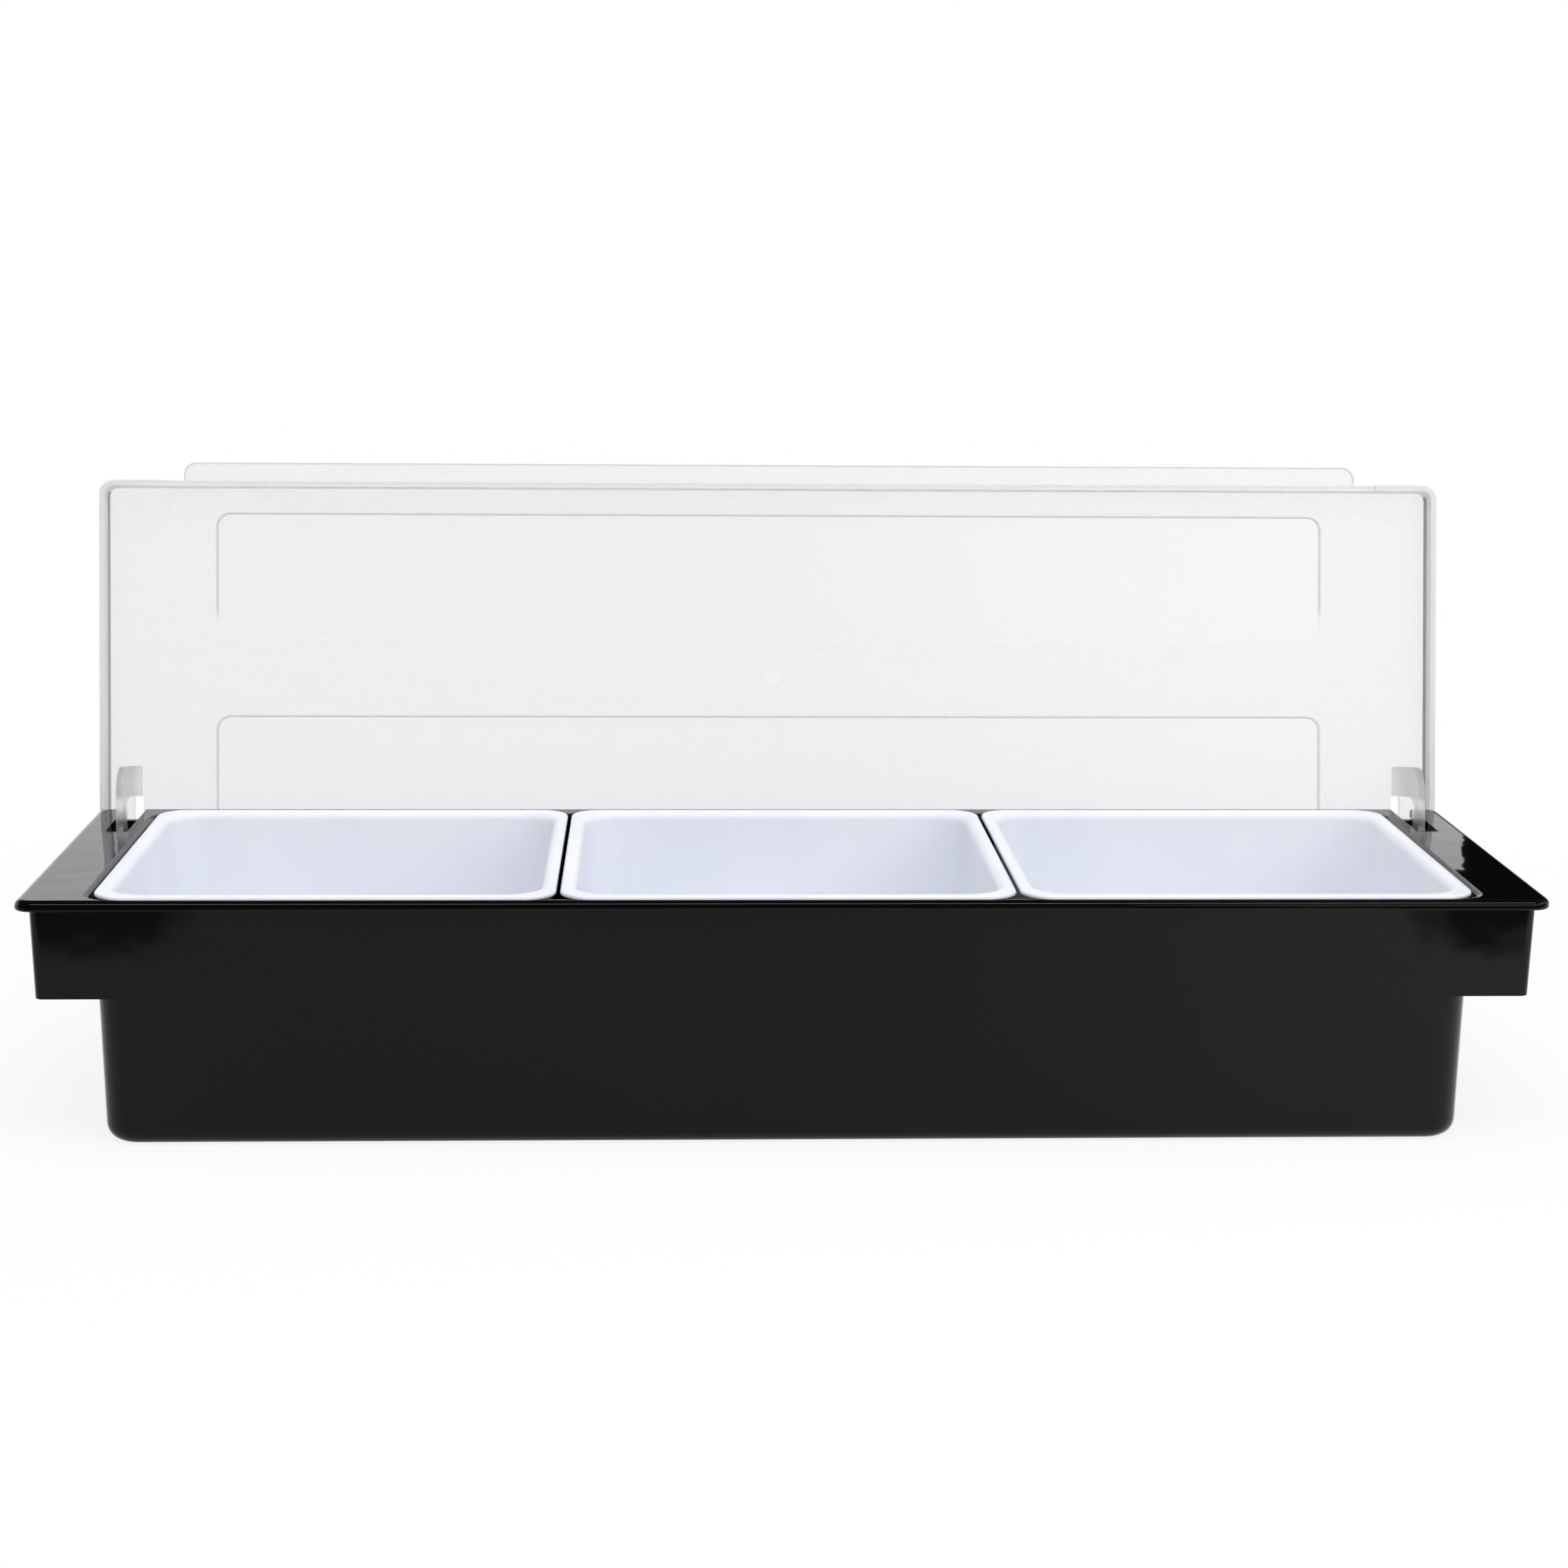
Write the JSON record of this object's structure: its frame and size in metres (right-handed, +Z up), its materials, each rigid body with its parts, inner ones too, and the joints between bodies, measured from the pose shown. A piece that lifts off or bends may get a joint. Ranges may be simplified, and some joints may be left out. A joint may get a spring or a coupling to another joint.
{
  "type": "condiment holder",
  "caption": "Black plastic condiment holder with end wings, lift-out white inserts side by side and a hinged frosted clear lid standing open.",
  "frame": {"origin": "centre of the tray's underside", "axes": "+X along the length, +Y to the back where the lid hinges, +Z up"},
  "size_m": [0.4974, 0.1854, 0.2082],
  "materials": {
    "black_plastic": "glossy moulded black",
    "white_plastic": "satin moulded white",
    "frosted_plastic": "finely grained clear moulding with smooth embossed fields"
  },
  "bodies": {
    "base": {"base_tray": "black_plastic", "left_wing": "black_plastic", "right_wing": "black_plastic"},
    "insert_left": {"insert_left": "white_plastic"},
    "insert_middle": {"insert_middle": "white_plastic"},
    "insert_right": {"insert_right": "white_plastic"},
    "lid": {"lid": "frosted_plastic"}
  },
  "joints": [
    {"name": "lid_hinge", "type": "hinge", "parent": "base", "child": "lid", "pos_m": [0, 0.06745, 0.0724], "axis": [1, 0, 0], "range_deg": [0, 100]},
    {"name": "insert_left_lift", "type": "slide", "parent": "base", "child": "insert_left", "axis": [0, 0, 1], "range_m": [0, 0.1]},
    {"name": "insert_middle_lift", "type": "slide", "parent": "base", "child": "insert_middle", "axis": [0, 0, 1], "range_m": [0, 0.1]},
    {"name": "insert_right_lift", "type": "slide", "parent": "base", "child": "insert_right", "axis": [0, 0, 1], "range_m": [0, 0.1]}
  ]
}
